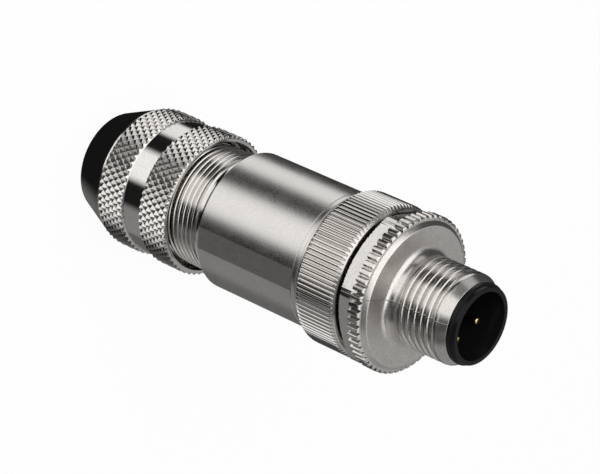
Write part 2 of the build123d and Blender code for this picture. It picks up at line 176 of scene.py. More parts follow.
class BarrelSizes(bpy.types.PropertyGroup):
    """Sizes of the barrel, from its rear end."""
    thread_length: length("Thread length", 11.6, "Length of the rear thread")
    thread_radius: length("Thread radius", 8.1, "Crest radius of the rear thread")
    neck_radius: length("Neck radius", 7.75, "Radius behind the shoulder")
    neck_rise: length("Neck rise", 0.3, "Rise of the neck towards the shoulder")
    neck_length: length("Neck length", 0.7, "Length of the neck before it rises")
    neck_round: length("Neck rounding", 1.5, "Rounding where the neck starts to rise")
    run_out: length("Run-out", 0.3, "Length over which the rear thread ends")
    shoulder: length("Shoulder", 13.4, "Distance of the shoulder from the rear end")
    edge_chamfer: length("Edge chamfer", 0.35, "Bevel at each end of the outside")
    lip_length: length("Lip length", 1.15, "Length of the lip at the front end, in front of a fine groove")
    lip_groove_width: length("Lip groove width", 0.2, "Width of that groove")
    lip_groove_depth: length("Lip groove depth", 0.08, "Depth of that groove")
    lip_step: length("Lip step", 0.5, "Length of the lip's lower part at the front end")
    lip_drop: length("Lip drop", 0.1, "How much lower that part is")
    flat_angle: angle("Flat angle", 111, "Place of one of the two opposite flats")
    flat_half_width: angle("Flat half width", 9, "Half the turn that a flat takes up")
    bore_radius: length("Bore radius", 6.4, "Radius of the rear bore")
    bore_chamfer: length("Bore chamfer", 0.8, "Bevel at the rear bore")
    web_rear: length("Web", 13.9, "Distance of the inner web from the rear end")
    web_length: length("Web length", 1.4, "Thickness of the inner web")
    web_radius: length("Web radius", 5.2, "Radius of the hole in the web")
    cavity_radius: length("Cavity radius", 7.9, "Radius of the front cavity")
    inner_thread_length: length("Inner thread length", 4.2, "Length of the thread in the cavity")
    inner_thread_gap: length("Inner thread gap", 0.5, "Plain length in front of that thread")
    ring_seat_depth: length("Ring seat depth", 0.25, "Widening round the sealing ring")
    ring_seat_length: length("Ring seat length", 1.6, "Length of that widening")


class FrontBodySizes(bpy.types.PropertyGroup):
    """Sizes of the front body, from its rear end."""
    thread_length: length("Thread length", 4.7, "Length of the rear thread")
    thread_radius: length("Thread radius", 7.85, "Crest radius of the rear thread")
    thread_bevel: length("Thread bevel", 0.2, "Bevel at the thread's front end")
    groove_radius: length("Groove radius", 7.0, "Radius of the sealing ring's groove")
    grip_rear: length("Grip ring", 6.0, "Distance of the grip ring from the rear end")
    grip_length: length("Grip length", 6.3, "Length of the grip ring")
    grip_radius: length("Grip radius", 10.25, "Radius over the ribs")
    rib_depth: length("Rib depth", 0.38, "Height of a rib")
    rib_end: length("Rib end", 0.55, "Length of the bevel at each end of a rib")
    rib_end_drop: length("Rib end drop", 0.14, "Depth of that bevel under the ribs' roots")
    ribs: count("Ribs", 100, "Ribs round the grip ring")
    hub_radius: length("Hub radius", 6.9, "Radius of the hub in front")
    bore_radius: length("Bore radius", 4.32, "Radius of the hole through the web")
    sleeve_radius: length("Sleeve radius", 6.8, "Inner radius of the threaded sleeve")
    web_rear: length("Web", 4.1, "Distance of the web from the rear end")


class CouplingRingSizes(bpy.types.PropertyGroup):
    """Sizes of the coupling ring, from its rear face."""
    flange_radius: length("Flange radius", 10.4, "Radius over the teeth and the corners")
    flat_distance: length("Flat distance", 9.25, "Distance of a wrench flat from the axis")
    flat_length: length("Flat length", 2.35, "Length of the wrench flats")
    corner_slope: bpy.props.FloatProperty(
        name="Corner slope", description="Rise of the cone that cuts the corners behind, for its length",
        default=1.6, min=0.1)
    corner_angle: angle("Corner angle", 39, "Place of one corner of the hexagon")
    teeth: count("Teeth", 60, "Teeth round the flange")
    tooth_length: length("Tooth length", 1.65, "Length of a tooth")
    tooth_top: length("Tooth top", 0.24, "Half the width of a tooth's flat top")
    tooth_root: length("Tooth root", 0.47, "Half the width of a tooth at its root")
    tooth_round: length("Tooth rounding", 0.3, "Rounding of a tooth's front end")
    root_radius: length("Root radius", 9.9, "Radius between the teeth")
    bevel: length("Bevel", 0.5, "Bevel from the teeth to the front face")
    face_radius: length("Face radius", 9.27, "Outer radius of the front face")
    neck_radius: length("Neck radius", 5.5, "Radius behind the mating thread")
    neck_length: length("Neck length", 1.5, "Length of the neck")
    neck_fillet: length("Neck fillet", 1.35, "Rounding between the face and the neck")
    thread_radius: length("Thread radius", 6.0, "Crest radius of the mating thread")
    land_length: length("Land length", 0.9, "Plain length in front of the thread")
    land_bevel: length("Land bevel", 0.15, "Bevel between the thread and that length")
    land_drop: length("Land drop", 0.14, "Fall of the land's crown at its front")
    nose_length: length("Nose length", 1.0, "Length of the taper at the front end")
    nose_radius: length("Nose radius", 5.35, "Radius at the front end")
    nose_round: length("Nose rounding", 0.12, "Rounding of the front edge")
    hub_seat_radius: length("Hub seat radius", 6.98, "Radius of the recess for the hub")
    hub_seat_depth: length("Hub seat depth", 3.4, "Depth of the recess for the hub")
    hub_seat_bevel: length("Hub seat bevel", 0.15, "Bevel at the edge of that recess")
    bore_radius: length("Bore radius", 4.88, "Radius of the bore round the carrier")


class ContactSizes(bpy.types.PropertyGroup):
    """Sizes of the contact carrier, from its mating face, and of the pins."""
    shroud_radius: length("Shroud radius", 5.1, "Outer radius of the shroud in front")
    lip_radius: length("Lip radius", 5.35, "Radius of the lip against the metal")
    shroud_length: length("Shroud length", 1.1, "Length of shroud in front of the metal")
    lip_length: length("Lip length", 0.45, "Length of the lip")
    edge_round: length("Edge rounding", 0.12, "Rounding of the shroud's edges")
    socket_radius: length("Socket radius", 4.45, "Radius of the socket round the pins")
    socket_depth: length("Socket depth", 9.2, "Depth of the socket")
    carrier_radius: length("Carrier radius", 4.8, "Radius inside the coupling ring")
    stem_radius: length("Stem radius", 4.3, "Radius behind, in the front body")
    stem_length: length("Stem length", 12.1, "Length of the stem")
    clip_groove: length("Clip groove", 0.4, "Depth of the clip's groove")
    clip_groove_length: length("Clip groove length", 0.7, "Length of the clip's groove")
    key_width: length("Key width", 1.2, "Width of the key in the socket")
    key_height: length("Key height", 0.75, "Height of the key in the socket")
    key_setback: length("Key setback", 1.2, "Distance of the key from the mating face")
    key_angle: angle("Key angle", 45, "Place of the key")
    key_round: length("Key rounding", 0.15, "Rounding of the key's edges")
    key_root: length("Key root", 0.2, "Depth to which the key is rooted in wall and floor")
    pins: count("Pins", 4, "Number of contact pins")
    pin_circle: length("Pin circle", 2.75, "Radius of the circle of pins")
    pin_radius: length("Pin radius", 0.5, "Radius of a pin")
    pin_tip: length("Pin tip", 0.36, "Rounding of a pin's tip")
    shank_radius: length("Shank radius", 0.8, "Radius of a pin's shank")
    clamp_radius: length("Clamp radius", 1.1, "Radius of a pin's wire clamp")
    clamp_length: length("Clamp length", 4.6, "Length of a pin's wire clamp")
    wire_radius: length("Wire hole radius", 0.65, "Radius of the hole for the wire")
    wire_depth: length("Wire hole depth", 3.6, "Depth of the hole for the wire")


class ThreadSizes(bpy.types.PropertyGroup):
    """The fine thread that every screwed joint of the plug uses."""
    pitch: length("Pitch", 1.0, "Distance between neighbouring crests")
    rear_pitch: length("Rear pitch", 0.8, "The same on the gland nut's thread")
    depth: share("Depth", 0.54, "Height of a crest over the root, in pitches")
    gap: length("Gap", 0.05, "Clearance between the gland nut's thread and the crests inside it")
    crest: share("Crest", 0.2, "Width of a crest, in pitches")
    root: share("Root", 0.08, "Width of a root, in pitches")


class FinishSettings(bpy.types.PropertyGroup):
    """Colours and gloss of the plug's finishes."""
    nickel: colour("Nickel", (0.72, 0.697, 0.67), "Bright nickel plating")
    casting: colour("Casting", (0.69, 0.663, 0.635), "Satin nickel on the die-cast ring")
    gold: colour("Gold", (0.86, 0.62, 0.27), "Gold plating of the contacts")
    plastic: colour("Plastic", (0.006, 0.006, 0.007), "Black moulded plastic")
    parting_angle: angle("Parting angle", 99, "Place of the casting's parting line")
    nickel_roughness: share("Nickel roughness", 0.1, "Roughness of the bright plating")
    barrel_roughness: share("Barrel roughness", 0.29, "Roughness of the satin barrel")
    casting_roughness: share("Casting roughness", 0.2, "Roughness of the die-cast ring")


class StudioSettings(bpy.types.PropertyGroup):
    """Camera, key lamp, floor and even light."""
    camera_azimuth: angle("Camera azimuth", 82.18, "Direction of the camera, from +X")
    camera_elevation: angle("Camera elevation", 36.03, "Height of the camera over the horizon")
    camera_roll: angle("Camera roll", 114.22, "Turn of the camera about its line of sight")
    camera_distance: length("Camera distance", 373.7, "From the aim to the camera")
    aim: bpy.props.FloatVectorProperty(
        name="Aim", description="Point that the camera looks at", size=3, subtype="TRANSLATION",
        unit="LENGTH", precision=5, default=(0.86 * mm, -0.12 * mm, 32.51 * mm))
    lens: bpy.props.FloatProperty(name="Lens", description="Focal length in millimetres",
                                  default=177, min=1)
    nearest: length("Nearest", 10, "Distance from which the camera sees")
    world_level: share("World level", 0.72, "Light that comes from all round")
    key_power: bpy.props.FloatProperty(name="Key power", description="Power of the key lamp",
                                       default=0.9, min=0, unit="POWER")
    key_size: length("Key size", 300, "Width of the key lamp")
    key_place: bpy.props.FloatVectorProperty(
        name="Key place", description="Place of the key lamp", size=3, subtype="TRANSLATION",
        unit="LENGTH", default=(0.15, 0.25, 0.4))
    key_aim: length("Key aim", 30, "Height on the axis that the key lamp faces")
    floor_radius: length("Floor radius", 1200, "Radius of the floor")
    floor_grey: share("Floor grey", 0.92, "Paleness of the floor in plain light")
    floor_white: share("Floor white", 0.95, "How much the camera sees the floor as plain white")


SETTINGS = {
    "plug_nut": GlandNutSizes, "plug_barrel": BarrelSizes, "plug_body": FrontBodySizes,
    "plug_ring": CouplingRingSizes, "plug_contacts": ContactSizes, "plug_thread": ThreadSizes,
    "plug_finish": FinishSettings, "plug_studio": StudioSettings,
}


class Value:
    """A socket's value, on which Python operators add Math nodes."""

    def __init__(self, tree, socket):
        self.tree = tree
        self.socket = socket

    def math(self, operation, *operands):
        """Return the result of a Math node on this value and others."""
        inputs = dict(enumerate((self, *operands)))
        return self.tree.add("ShaderNodeMath", {"operation": operation}, inputs)

    def __add__(self, other):
        return self.math("ADD", other)

    def __sub__(self, other):
        return self.math("SUBTRACT", other)

    def __mul__(self, other):
        return self.math("MULTIPLY", other)

    def __truediv__(self, other):
        return self.math("DIVIDE", other)

    def __rsub__(self, other):
        return Value.constant(self.tree, other).math("SUBTRACT", self)

    __radd__ = __add__
    __rmul__ = __mul__

    @staticmethod
    def constant(tree, number):
        """Return a fixed number as a value."""
        return tree.add("ShaderNodeMath", {"operation": "ADD"}, {0: number, 1: 0})


class Tree:
    """A shader or geometry tree, with one way to add a node."""

    def __init__(self, tree):
        self.tree = tree

    def add(self, kind, settings=None, inputs=None, output=0):
        """Add a node with its settings, then its inputs, and return one of its outputs."""
        node = self.tree.nodes.new(kind)
        for name, setting in (settings or {}).items():
            setattr(node, name, setting)
        for key, given in (inputs or {}).items():
            if isinstance(given, Value):
                self.tree.links.new(given.socket, node.inputs[key])
            else:
                node.inputs[key].default_value = given
        return Value(self, node.outputs[output]) if len(node.outputs) else None

    def axis(self, vector, name):
        """Return one component of a vector."""
        return self.add("ShaderNodeSeparateXYZ", inputs={0: vector}, output=name)

    def ramp(self, value, low, high, start=0.0, end=1.0):
        """Return a value eased from low..high to start..end, held at both ends."""
        return self.add("ShaderNodeMapRange", {"interpolation_type": "SMOOTHSTEP"}, {
            "Value": value, "From Min": low, "From Max": high, "To Min": start, "To Max": end})

    def noise(self, place, scale, detail, roughness):
        """Return a noise through space, between 0 and 1."""
        return self.add("ShaderNodeTexNoise", {"noise_dimensions": "3D"}, {
            "Vector": place, "Scale": scale, "Detail": detail, "Roughness": roughness})

    def blend(self, share_of_second, first, second):
        """Return a mix of two colours."""
        return self.add("ShaderNodeMix", {"data_type": "RGBA"},
                        {0: share_of_second, 6: first, 7: second}, output=2)


def softened(points, rounding):
    """Return an outline with its inner corners rounded by arcs."""
    rounded = [points[0][:2]]
    for before, corner, after in zip(points, points[1:], points[2:]):
        here = np.array(corner[:2])
        arms = [np.array(before[:2]) - here, np.array(after[:2]) - here]
        lengths = [np.linalg.norm(arm) for arm in arms]
        back, forth = arms[0] / lengths[0], arms[1] / lengths[1]
        radius = corner[2] if len(corner) > 2 else rounding
        half = np.arccos(np.clip(back @ forth, -1, 1)) / 2
        if radius == 0 or half > pi / 2 - BLUNT:
            rounded.append(tuple(here))
            continue
        setback = min(radius / tan(half), LONGEST_SETBACK * min(lengths))
        radius = setback * tan(half)
        middle = (back + forth) / np.linalg.norm(back + forth)
        centre = here + middle * radius / sin(half)
        first = here + back * setback - centre
        swing = pi - 2 * half
        if np.cross(back, forth) > 0:
            swing = -swing
        for step in range(ARC_STEPS + 1):
            turn = swing * step / ARC_STEPS
            spun = (first[0] * cos(turn) - first[1] * sin(turn),
                    first[0] * sin(turn) + first[1] * cos(turn))
            rounded.append((centre[0] + spun[0], centre[1] + spun[1]))
    rounded.append(points[-1][:2])
    return rounded


def round_mesh(name, radii, heights, angles, closed=False, split=None):
    """Return a mesh of rows of points round the axis, cut into triangles if split says how."""
    rows, columns = radii.shape
    points = np.stack([radii * np.cos(angles), radii * np.sin(angles),
                       np.broadcast_to(np.array(heights)[:, None], radii.shape)], axis=2)
    faces = []
    for row in range(rows - 1):
        for column in range(columns if closed else columns - 1):
            beside = (column + 1) % columns
            quad = (row * columns + column, row * columns + beside,
                    (row + 1) * columns + beside, (row + 1) * columns + column)
            if split is None:
                faces.append(quad)
            elif split(column, row):
                faces += [(quad[0], quad[1], quad[2]), (quad[0], quad[2], quad[3])]
            else:
                faces += [(quad[1], quad[2], quad[3]), (quad[1], quad[3], quad[0])]
    mesh = bpy.data.meshes.new(name)
    mesh.from_pydata(points.reshape(-1, 3).tolist(), [], faces)
    return mesh


def turned(outline, segments=TURN_SEGMENTS, rounding=EDGE):
    """Return the band that an outline of (radius, height) points sweeps round the axis."""
    radii, heights = np.array(softened(outline, rounding)).T
    angles = np.arange(segments) / segments * tau
    mesh = round_mesh("turned", np.tile(radii[:, None], segments), heights, angles, closed=True)
    return Band(mesh, outline[0][:2], outline[-1][:2])


def sector(radii, heights, sweep, split=None):
    """Return one repeat of a pattern round the axis, from its radii and heights."""
    return round_mesh("sector", radii, heights, np.linspace(0, sweep, radii.shape[1]), split=split)


def evaluated_mesh(holder, name):
    """Return an object's mesh with its modifiers applied, and remove the object."""
    graph = bpy.context.evaluated_depsgraph_get()
    mesh = bpy.data.meshes.new_from_object(holder.evaluated_get(graph))
    mesh.name = name
    bpy.data.objects.remove(holder)
    return mesh


def grown(name, build, sizes, material, mesh=None):
    """Return the mesh that a Geometry Nodes tree makes from named sizes."""
    group = bpy.data.node_groups.new(name, "GeometryNodeTree")
    tree = Tree(group)
    group.interface.new_socket(name="Mesh", in_out="INPUT", socket_type="NodeSocketGeometry")
    identifiers = {}
    for label, size in sizes.items():
        kind = "NodeSocketInt" if isinstance(size, int) else "NodeSocketFloat"
        identifiers[label] = group.interface.new_socket(
            name=label, in_out="INPUT", socket_type=kind).identifier
    group.interface.new_socket(name="Mesh", in_out="OUTPUT", socket_type="NodeSocketGeometry")
    entry = group.nodes.new("NodeGroupInput")
    inputs = {socket.name: Value(tree, socket) for socket in entry.outputs if socket.name}
    shape = tree.add("GeometryNodeRealizeInstances", inputs={"Geometry": build(tree, inputs)})
    welded = tree.add("GeometryNodeMergeByDistance", inputs={"Geometry": shape, "Distance": WELD})
    coated = tree.add("GeometryNodeSetMaterial", inputs={"Geometry": welded, "Material": material})
    tree.add("NodeGroupOutput", inputs={0: coated})
    holder = bpy.data.objects.new(name, mesh or bpy.data.meshes.new(name))
    bpy.context.scene.collection.objects.link(holder)
    modifier = holder.modifiers.new(name, "NODES")
    modifier.node_group = group
    for label, size in sizes.items():
        modifier[identifiers[label]] = size
    return evaluated_mesh(holder, name)


def round_the_axis(tree, inputs):
    """Repeat the object's own mesh round the Z axis."""
    points = tree.add("GeometryNodeMeshLine", inputs={"Count": inputs["Count"], "Offset": (0, 0, 0)})
    index = tree.add("GeometryNodeInputIndex")
    turn = index * tau / inputs["Count"]
    rotation = tree.add("ShaderNodeCombineXYZ", inputs={"Z": turn})
    return tree.add("GeometryNodeInstanceOnPoints", inputs={
        "Points": points, "Instance": inputs["Mesh"], "Rotation": rotation})


def repeated(name, mesh, number, material, start, end):
    """Return a band made of a sector repeated round the axis."""
    return Band(grown(name, round_the_axis, {"Count": number}, material, mesh), start, end)


def thread_surface(tree, inputs):
    """Bend a flat grid into a thread whose grooves run along its rows."""
    columns, rows, per_pitch = inputs["Columns"], inputs["Rows"], inputs["Rows per pitch"]
    grid = tree.add("GeometryNodeMeshGrid", inputs={
        "Size X": columns, "Size Y": rows, "Vertices X": columns + 1, "Vertices Y": rows + 1})
    place = tree.add("GeometryNodeInputPosition")
    turn = tree.axis(place, "X") / columns + 0.5
    row = tree.axis(place, "Y") + rows / 2
    phase = (row / per_pitch).math("FRACT")
    from_crest = (phase - 0.5).math("ABSOLUTE")
    rise = tree.ramp(from_crest, inputs["Crest"] / 2, 0.5 - inputs["Root"] / 2, 1, 0)
    height = inputs["First height"] + (row / per_pitch + turn) * inputs["Pitch"]
    height = height.math("MAXIMUM", inputs["Start height"]).math("MINIMUM", inputs["End height"])
    from_start = height - inputs["Start height"]
    from_end = inputs["End height"] - height
    lowest = (inputs["Start radius"] - from_start).math("MAXIMUM", inputs["End radius"] - from_end)
    highest = (inputs["Start radius"] + from_start).math("MINIMUM", inputs["End radius"] + from_end)
    radius = inputs["Root radius"] + rise * (inputs["Crest radius"] - inputs["Root radius"])
    radius = radius.math("MAXIMUM", lowest).math("MINIMUM", highest)
    turn = turn * tau
    point = tree.add("ShaderNodeCombineXYZ", inputs={
        "X": radius * turn.math("COSINE"), "Y": radius * turn.math("SINE"), "Z": height})
    return tree.add("GeometryNodeSetPosition", inputs={"Geometry": grid, "Position": point})


def threaded(name, crest_radius, start, end, material, pitch):
    """Return a threaded band between two (radius, height) ends, bevelled at both."""
    sizes = bpy.context.scene.plug_thread
    pitches = floor((end[1] - start[1]) / pitch) + 3
    mesh = grown(name, thread_surface, {
        "Columns": THREAD_SEGMENTS, "Rows": pitches * THREAD_ROWS, "Rows per pitch": THREAD_ROWS,
        "Pitch": pitch, "First height": (floor(start[1] / pitch) - 1) * pitch,
        "Crest": sizes.crest, "Root": sizes.root,
        "Crest radius": crest_radius, "Root radius": crest_radius - sizes.depth * pitch,
        "Start radius": start[0], "Start height": start[1],
        "End radius": end[0], "End height": end[1]}, material)
    return Band(mesh, start, end)


def flipped(band):
    """Return a band with its ends exchanged, for a surface that is followed downwards."""
    return Band(band.mesh, band.end, band.start)


def ring_of_edges(edges, place):
    """Return the open edges that lie on the circle at a (radius, height) place."""
    def on_circle(vertex):
        off = hypot(hypot(vertex.co.x, vertex.co.y) - place[0], vertex.co.z - place[1])
        return off < HAIR

    return [edge for edge in edges if all(on_circle(vertex) for vertex in edge.verts)]


def loaded(*meshes):
    """Return a bmesh that holds some meshes."""
    bm = bmesh.new()
    for mesh in meshes:
        bm.from_mesh(mesh)
    return bm


def finished(name, bm, material, crease=None):
    """Return an object of a closed bmesh, smooth but for its sharp edges and those of a crease."""
    bmesh.ops.remove_doubles(bm, verts=bm.verts, dist=WELD)
    bmesh.ops.dissolve_degenerate(bm, edges=bm.edges, dist=WELD)
    bmesh.ops.recalc_face_normals(bm, faces=bm.faces)
    mesh = bpy.data.meshes.new(name)
    bm.to_mesh(mesh)
    bm.free()
    mesh.materials.clear()
    mesh.materials.append(material)
    mesh.shade_smooth()
    mesh.set_sharp_from_angle(angle=SHARP_ANGLE)
    if crease is not None:
        creased = {vertex.index for vertex in mesh.vertices if crease(vertex.co)}
        for edge in mesh.edges:
            if creased.issuperset(edge.vertices):
                edge.use_edge_sharp = True
    holder = bpy.data.objects.new(name, mesh)
    bpy.context.scene.collection.objects.link(holder)
    weighted = holder.modifiers.new("Weighted normals", "WEIGHTED_NORMAL")
    weighted.keep_sharp = True
    smooth = evaluated_mesh(holder, name)
    piece = bpy.data.objects.new(name, smooth)
    bpy.context.scene.collection.objects.link(piece)
    return piece


def sewn(name, bands, material, crease=None):
    """Return an object of bands sewn edge to edge in order, and the last to the first."""
    bm = loaded(*[band.mesh for band in bands])
    bmesh.ops.remove_doubles(bm, verts=bm.verts, dist=WELD)
    open_edges = [edge for edge in bm.edges if edge.is_boundary]
    for band, follower in zip(bands, bands[1:] + bands[:1]):
        seam = [ring_of_edges(open_edges, place) for place in (band.end, follower.start)]
        if not all(seam):
            raise RuntimeError(f"{name}: no open ring at {band.end} or {follower.start}")
        bmesh.ops.bridge_loops(bm, edges=seam[0] + seam[1])
    if any(edge.is_boundary for edge in bm.edges):
        raise RuntimeError(f"{name}: the surface isn't closed")
    return finished(name, bm, material, crease)


def put(piece, body, slot, *nodes):
    """Let a piece ride on its body and stand for its nodes."""
    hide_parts(*nodes)
    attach(piece, body)


def ends(node):
    """Return a node's lowest and highest height."""
    low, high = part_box(node)
    return low.z, high.z


def surface(name, base, roughness, metallic=0.0, specular=0.5, grain=0.0, grain_size=0.1 * mm,
            rings=0.0, speckle=0.08, specks=0.0, matt_ends=0.0, parting=None, smooth_inside=None):
    """Return a finish: grain and turning marks as bump, with patches in its gloss and colour.

    Its ends, square to the axis, can be duller, and it can be smooth inside a radius. A parting
    line lies in the plane through the axis at its angle.
    """
    material = bpy.data.materials.new(name)
    material.use_nodes = True
    tree = Tree(material.node_tree)
    shader = material.node_tree.nodes["Principled BSDF"]
    place = tree.add("ShaderNodeTexCoord", output="Object")
    x, y = tree.axis(place, "X"), tree.axis(place, "Y")
    across = (x * x + y * y).math("SQRT")
    patches = tree.noise(place, PATCH_SCALE, 4, 0.6)
    fine = tree.noise(place, 1 / grain_size, 3, 0.55)
    wander = 0.3
    gloss = roughness * (1 + (patches - 0.5) * wander + (fine - 0.5) * wander)
    dark = [(1 - speckle) * part for part in base]
    stain = tree.ramp(patches * 0.3 + fine * 0.7, 0.4, 0.6)
    shade = tree.blend(stain, (*dark, 1), (*base, 1))
    relief = fine * grain
    if matt_ends:
        normal = tree.add("ShaderNodeTexCoord", output="Normal")
        square = tree.axis(normal, "Z").math("ABSOLUTE")
        gloss = gloss + tree.ramp(square, 0.9, 0.99) * matt_ends
    if smooth_inside is not None:
        inner_share = 0.4
        outside = tree.ramp(across, smooth_inside - 2 * EDGE, smooth_inside + 2 * EDGE)
        gloss = gloss * (outside * (1 - inner_share) + inner_share)
        relief = relief * outside
    if parting is not None:
        off = x * sin(parting) - y * cos(parting)
        line = tree.ramp(off.math("ABSOLUTE"), PARTING_HALF_WIDTH, PARTING_REACH, 1, 0)
        # The parting line is painted darker, mixed up to 0.7 of the way towards 0.3 of the base colour,
        # and raised as bump
        darker_seam = [0.3 * part for part in base]
        shade = tree.blend(line * 0.7, shade, (*darker_seam, 1))
        relief = relief + line * PARTING_HEIGHT
    if rings:
        marks = tree.add("ShaderNodeTexNoise", {"noise_dimensions": "1D"}, {
            "W": across + tree.axis(place, "Z"), "Scale": RING_SCALE, "Detail": 3, "Roughness": 0.7})
        relief = relief + marks * rings
    if specks:
        pits = tree.noise(place, PIT_SCALE, 2, 0.5)
        relief = relief + tree.ramp(pits, 0.3, 0.7) * specks
    bump = tree.add("ShaderNodeBump", inputs={"Strength": 1.0, "Distance": 1.0, "Height": relief})
    for socket, value in (("Roughness", gloss), ("Base Color", shade), ("Normal", bump)):
        material.node_tree.links.new(value.socket, shader.inputs[socket])
    shader.inputs["Metallic"].default_value = metallic
    shader.inputs["Specular IOR Level"].default_value = specular
    return material


def finish(name):
    """Return one of the plug's finishes, made on its first use."""
    if name in bpy.data.materials and bpy.data.materials[name].get("plug_finish"):
        return bpy.data.materials[name]
    chosen = bpy.context.scene.plug_finish
    satin_start = bpy.context.scene.plug_barrel.thread_radius + 0.5 * mm
    recipes = {
        "bright nickel": dict(base=chosen.nickel, roughness=chosen.nickel_roughness, metallic=1,
                              grain=0.6 * um, grain_size=0.25 * mm, rings=0.12 * um),
        "satin nickel": dict(base=chosen.nickel, roughness=chosen.barrel_roughness, metallic=1,
                             grain=4.0 * um, grain_size=0.28 * mm, rings=0.25 * um, speckle=0.1,
                             smooth_inside=satin_start),
        "cast nickel": dict(base=chosen.casting, roughness=chosen.casting_roughness, metallic=1,
                            grain=1.2 * um, grain_size=0.2 * mm, specks=1.5 * um,
                            speckle=0.16, matt_ends=0.2, parting=chosen.parting_angle),
        "gold plating": dict(base=chosen.gold, roughness=0.13, metallic=1, grain=0.4 * um,
                             rings=0.1 * um),
        "black plastic": dict(base=chosen.plastic, roughness=0.27, specular=0.16, grain=1.5 * um,
                              grain_size=0.12 * mm),
        "dark grey plastic": dict(base=(0.10, 0.10, 0.11), roughness=0.45, grain=3 * um),
        "natural plastic": dict(base=(0.74, 0.72, 0.66), roughness=0.4, grain=2 * um),
        "dark washer plastic": dict(base=(0.07, 0.07, 0.08), roughness=0.4, grain=2 * um),
        "black rubber": dict(base=(0.022, 0.022, 0.022), roughness=0.62, grain=5 * um,
                             grain_size=0.08 * mm),
        "spring metal": dict(base=(0.62, 0.61, 0.59), roughness=0.24, metallic=1, grain=0.8 * um),
        "zinc plated steel": dict(base=(0.60, 0.60, 0.60), roughness=0.26, metallic=1,
                                  grain=0.8 * um),
    }
    material = surface(name, **recipes[name])
    material["plug_finish"] = True
    return material


class PLUG_OT_gland_nut(bpy.types.Operator):
    """Make the gland nut with its cone, its two knurled bands and its inner thread"""
    bl_idname = "plug.gland_nut"
    bl_label = "Gland nut"

    def execute(self, context):
        sizes = context.scene.plug_nut
        nickel = finish("bright nickel")
        rear, front = ends("gland_nut")
        knurl_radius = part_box("gland_nut")[1].x
        band_edge = knurl_radius - sizes.band_chamfer
        band_1 = rear + sizes.cone_length
        band_1_end = band_1 + sizes.band_length
        band_2 = band_1_end + sizes.groove_length
        band_2_end = front - sizes.rim_length
        bevel = sizes.band_chamfer / 2
        mouth_radius = sizes.rim_radius - sizes.rim_wall
        mouth_rear = front - sizes.mouth_depth
        thread = context.scene.plug_thread
        thread_radius = (context.scene.plug_barrel.thread_radius + thread.gap
                         + thread.depth * thread.rear_pitch)
        thread_front = mouth_rear - (mouth_radius - thread_radius)
        seat_front = rear + sizes.entry_length + sizes.seat_length
        seat_front_radius = sizes.seat_radius + sizes.seat_length * tan(sizes.seat_angle)
        thread_rear = seat_front + thread_radius - seat_front_radius
        bands = [
            turned([
                (sizes.seat_radius, rear + sizes.entry_length),
                (sizes.entry_radius, rear + sizes.entry_length),
                (sizes.entry_radius, rear + sizes.entry_chamfer),
                (sizes.entry_radius + sizes.entry_chamfer, rear),
                (sizes.rear_radius, rear, sizes.rear_round),
                (sizes.cone_radius, band_1 - bevel),
                (band_edge + 2 * HAIR, band_1 - 2 * HAIR),
            ]),
            self.knurled(sizes, knurl_radius, band_1, band_1_end, nickel),
            turned([
                (band_edge - 2 * HAIR, band_1_end + 2 * HAIR),
                (sizes.groove_radius, band_1_end + 8 * HAIR),
                (sizes.groove_radius, band_2 - 3 * HAIR),
                (sizes.groove_radius + EDGE, band_2 - HAIR, 0),
            ]),
            self.knurled(sizes, knurl_radius, band_2, band_2_end, nickel),
            turned([
                (band_edge + 2 * HAIR, band_2_end + HAIR),
                (sizes.rim_radius, front - 3 * HAIR),
                (sizes.rim_radius - EDGE, front),
                (mouth_radius, front),
                (mouth_radius, mouth_rear),
                (thread_radius + 2 * HAIR, thread_front + 2 * HAIR),
            ]),
            flipped(threaded("nut thread", thread_radius, (thread_radius, thread_rear),
                             (thread_radius, thread_front), nickel, thread.rear_pitch)),
            turned([
                (thread_radius - 2 * HAIR, thread_rear - 2 * HAIR),
                (seat_front_radius, seat_front),
                (sizes.seat_radius + 2 * HAIR, rear + sizes.entry_length + 4 * HAIR),
            ]),
        ]
        piece = sewn("gland_nut_shell", bands, nickel)
        put(piece, "nut", "plated_brass", "gland_nut")
        return {"FINISHED"}

    def knurled(self, sizes, radius, low, high, material):
        """Return a band of diamonds, cut off by a bevel at each end."""
        steps = 4
        edge = radius - sizes.band_chamfer
        across = np.linspace(0, 2, 2 * steps + 1)[None, :]
        levels = round((high - low) / sizes.band_length * sizes.rows * steps)
        along = np.arange(levels + 1)[:, None] / steps
        column, row = np.floor(across), np.floor(along)
        off_even = np.abs(across - column - (column + row) % 2)
        near = off_even + np.abs(along - row)
        far = np.abs(across - column - (column + row + 1) % 2) + np.abs(along - row - 1)
        peak = 1 - np.minimum(near, far)
        tall = radius - sizes.knurl_depth + sizes.knurl_depth * peak / (1 - sizes.knurl_flat)
        heights = np.linspace(low, high, levels + 1)
        slope = sizes.band_chamfer / sizes.bevel_length
        limit = edge + slope * np.minimum(heights - low, high - heights)[:, None]
        radii = np.minimum(np.minimum(tall, radius), limit)
        one = sector(radii, heights, tau / sizes.diamonds,
                     split=lambda column, row: (column // steps + row // steps) % 2 == 1)
        return repeated("knurl", one, sizes.diamonds, material, (edge, low), (edge, high))


